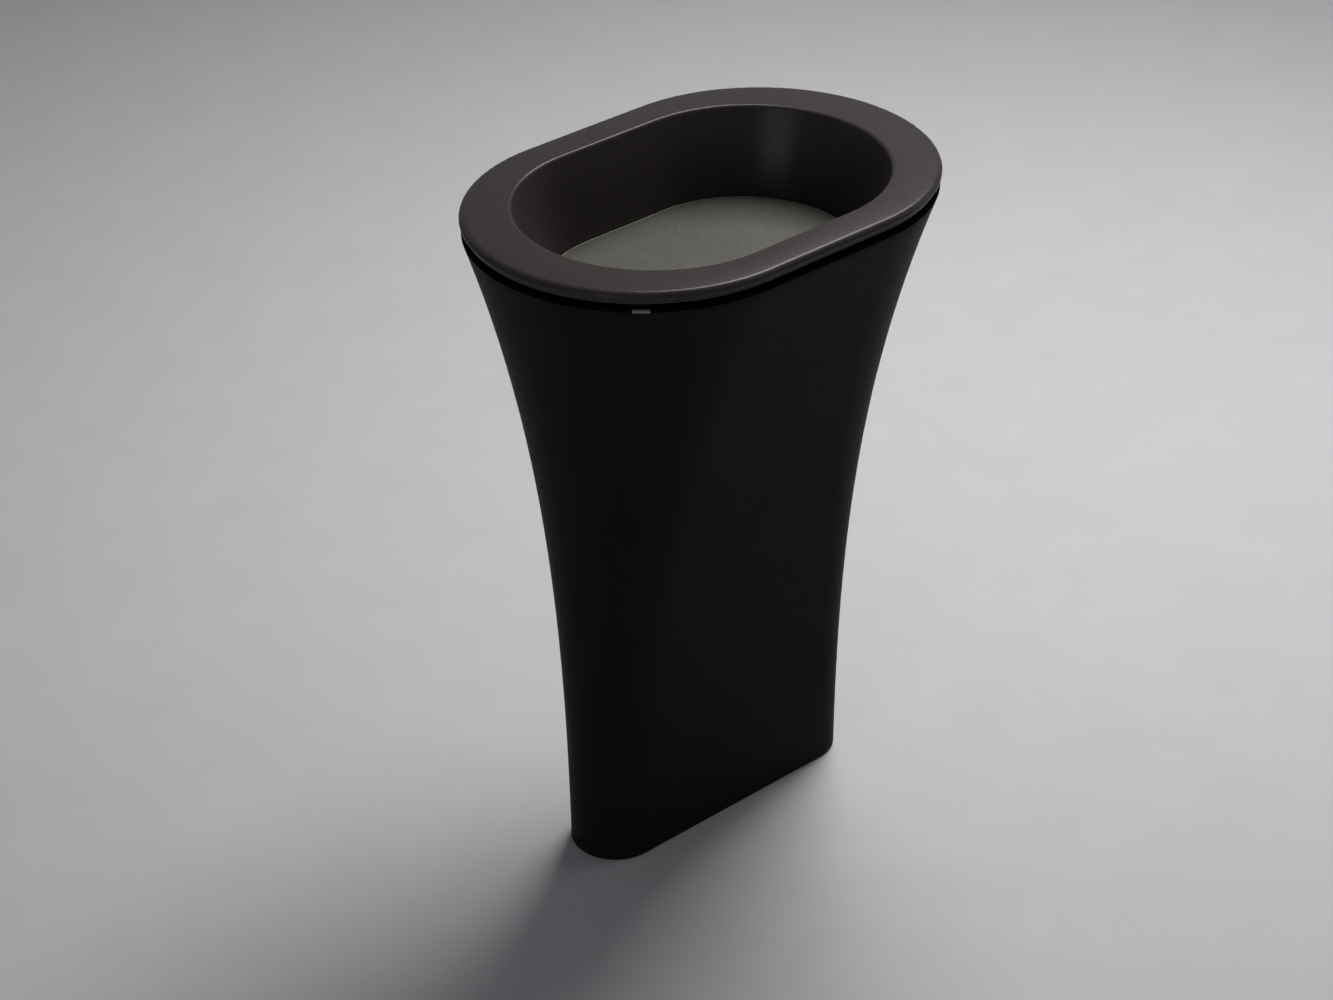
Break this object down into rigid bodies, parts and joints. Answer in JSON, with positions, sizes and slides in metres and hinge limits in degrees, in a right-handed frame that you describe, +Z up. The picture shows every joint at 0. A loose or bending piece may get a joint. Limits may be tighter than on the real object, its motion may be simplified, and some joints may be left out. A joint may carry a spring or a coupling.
{
  "type": "pedestal sink",
  "caption": "Freestanding washbasin with a stadium-shaped bowl, flat drain cover and a flared hollow pedestal with a shadow gap under the rim.",
  "frame": {"origin": "on the floor, at the middle of the foot", "axes": "+Z up, +X to the right along the rim's length, front faces -Y"},
  "size_m": [0.6, 0.42, 0.85],
  "materials": {
    "black_body": "satin black",
    "taupe_basin": "matt dark taupe",
    "cover_grey": "matt olive grey",
    "rubber": "matt",
    "steel": "zinc plated",
    "satin_steel": "brushed",
    "chrome": "polished",
    "brass": "machined",
    "white_plastic": "moulded",
    "black_plastic": "moulded"
  },
  "bodies": {
    "stand": {"pedestal": "black_body", "base_gasket": "rubber", "floor_brackets": "steel", "foot_screws": "steel", "foot_washers": "steel", "foot_caps": "black_plastic", "neck_ring": "black_plastic", "badge": "satin_steel", "basin": "taupe_basin", "basin_gasket": "rubber", "basin_studs": "steel", "basin_clips": "steel", "clip_nuts": "steel", "waste_flange": "chrome", "flange_seal": "rubber", "waste_gasket": "rubber", "waste_washer": "steel", "waste_nut": "brass", "tailpiece": "chrome", "trap_body": "white_plastic", "inlet_nut": "white_plastic", "inlet_seal": "rubber", "outlet_nut": "white_plastic", "outlet_seal": "rubber", "outlet_pipe": "chrome", "pipe_clip": "black_plastic", "pipe_bracket": "steel", "coupling": "rubber", "coupling_clamps": "steel", "panel_strikes": "steel"},
    "cover": {"drain_cover": "cover_grey", "cover_feet": "rubber"},
    "catcher": {"hair_catcher": "satin_steel"},
    "panel": {"access_panel": "black_body", "panel_magnets": "steel", "panel_pegs": "black_plastic"},
    "cup": {"trap_cup": "white_plastic", "cup_seal": "rubber"},
    "union_nut": {"cup_nut": "white_plastic"}
  },
  "joints": [
    {"name": "cover_lift", "type": "slide", "parent": "stand", "child": "cover", "axis": [0, 0, 1], "range_m": [0, 0.14]},
    {"name": "catcher_lift", "type": "slide", "parent": "stand", "child": "catcher", "axis": [0, 0, 1], "range_m": [0, 0.042]},
    {"name": "panel_pull", "type": "slide", "parent": "stand", "child": "panel", "axis": [0, 1, 0], "range_m": [0, 0.15]},
    {"name": "cup_drop", "type": "slide", "parent": "stand", "child": "cup", "axis": [0, 0, -1], "range_m": [0, 0.1]},
    {"name": "nut_turn", "type": "hinge", "parent": "cup", "child": "union_nut", "pos_m": [0, 0, 0.53], "axis": [0, 0, -1], "range_deg": [0, 720]}
  ],
  "couplings": [
    {"joint": "catcher_lift", "follows": "cover_lift", "ratio": 0.3},
    {"joint": "nut_turn", "follows": "cup_drop", "rad_per_m": 125}
  ]
}
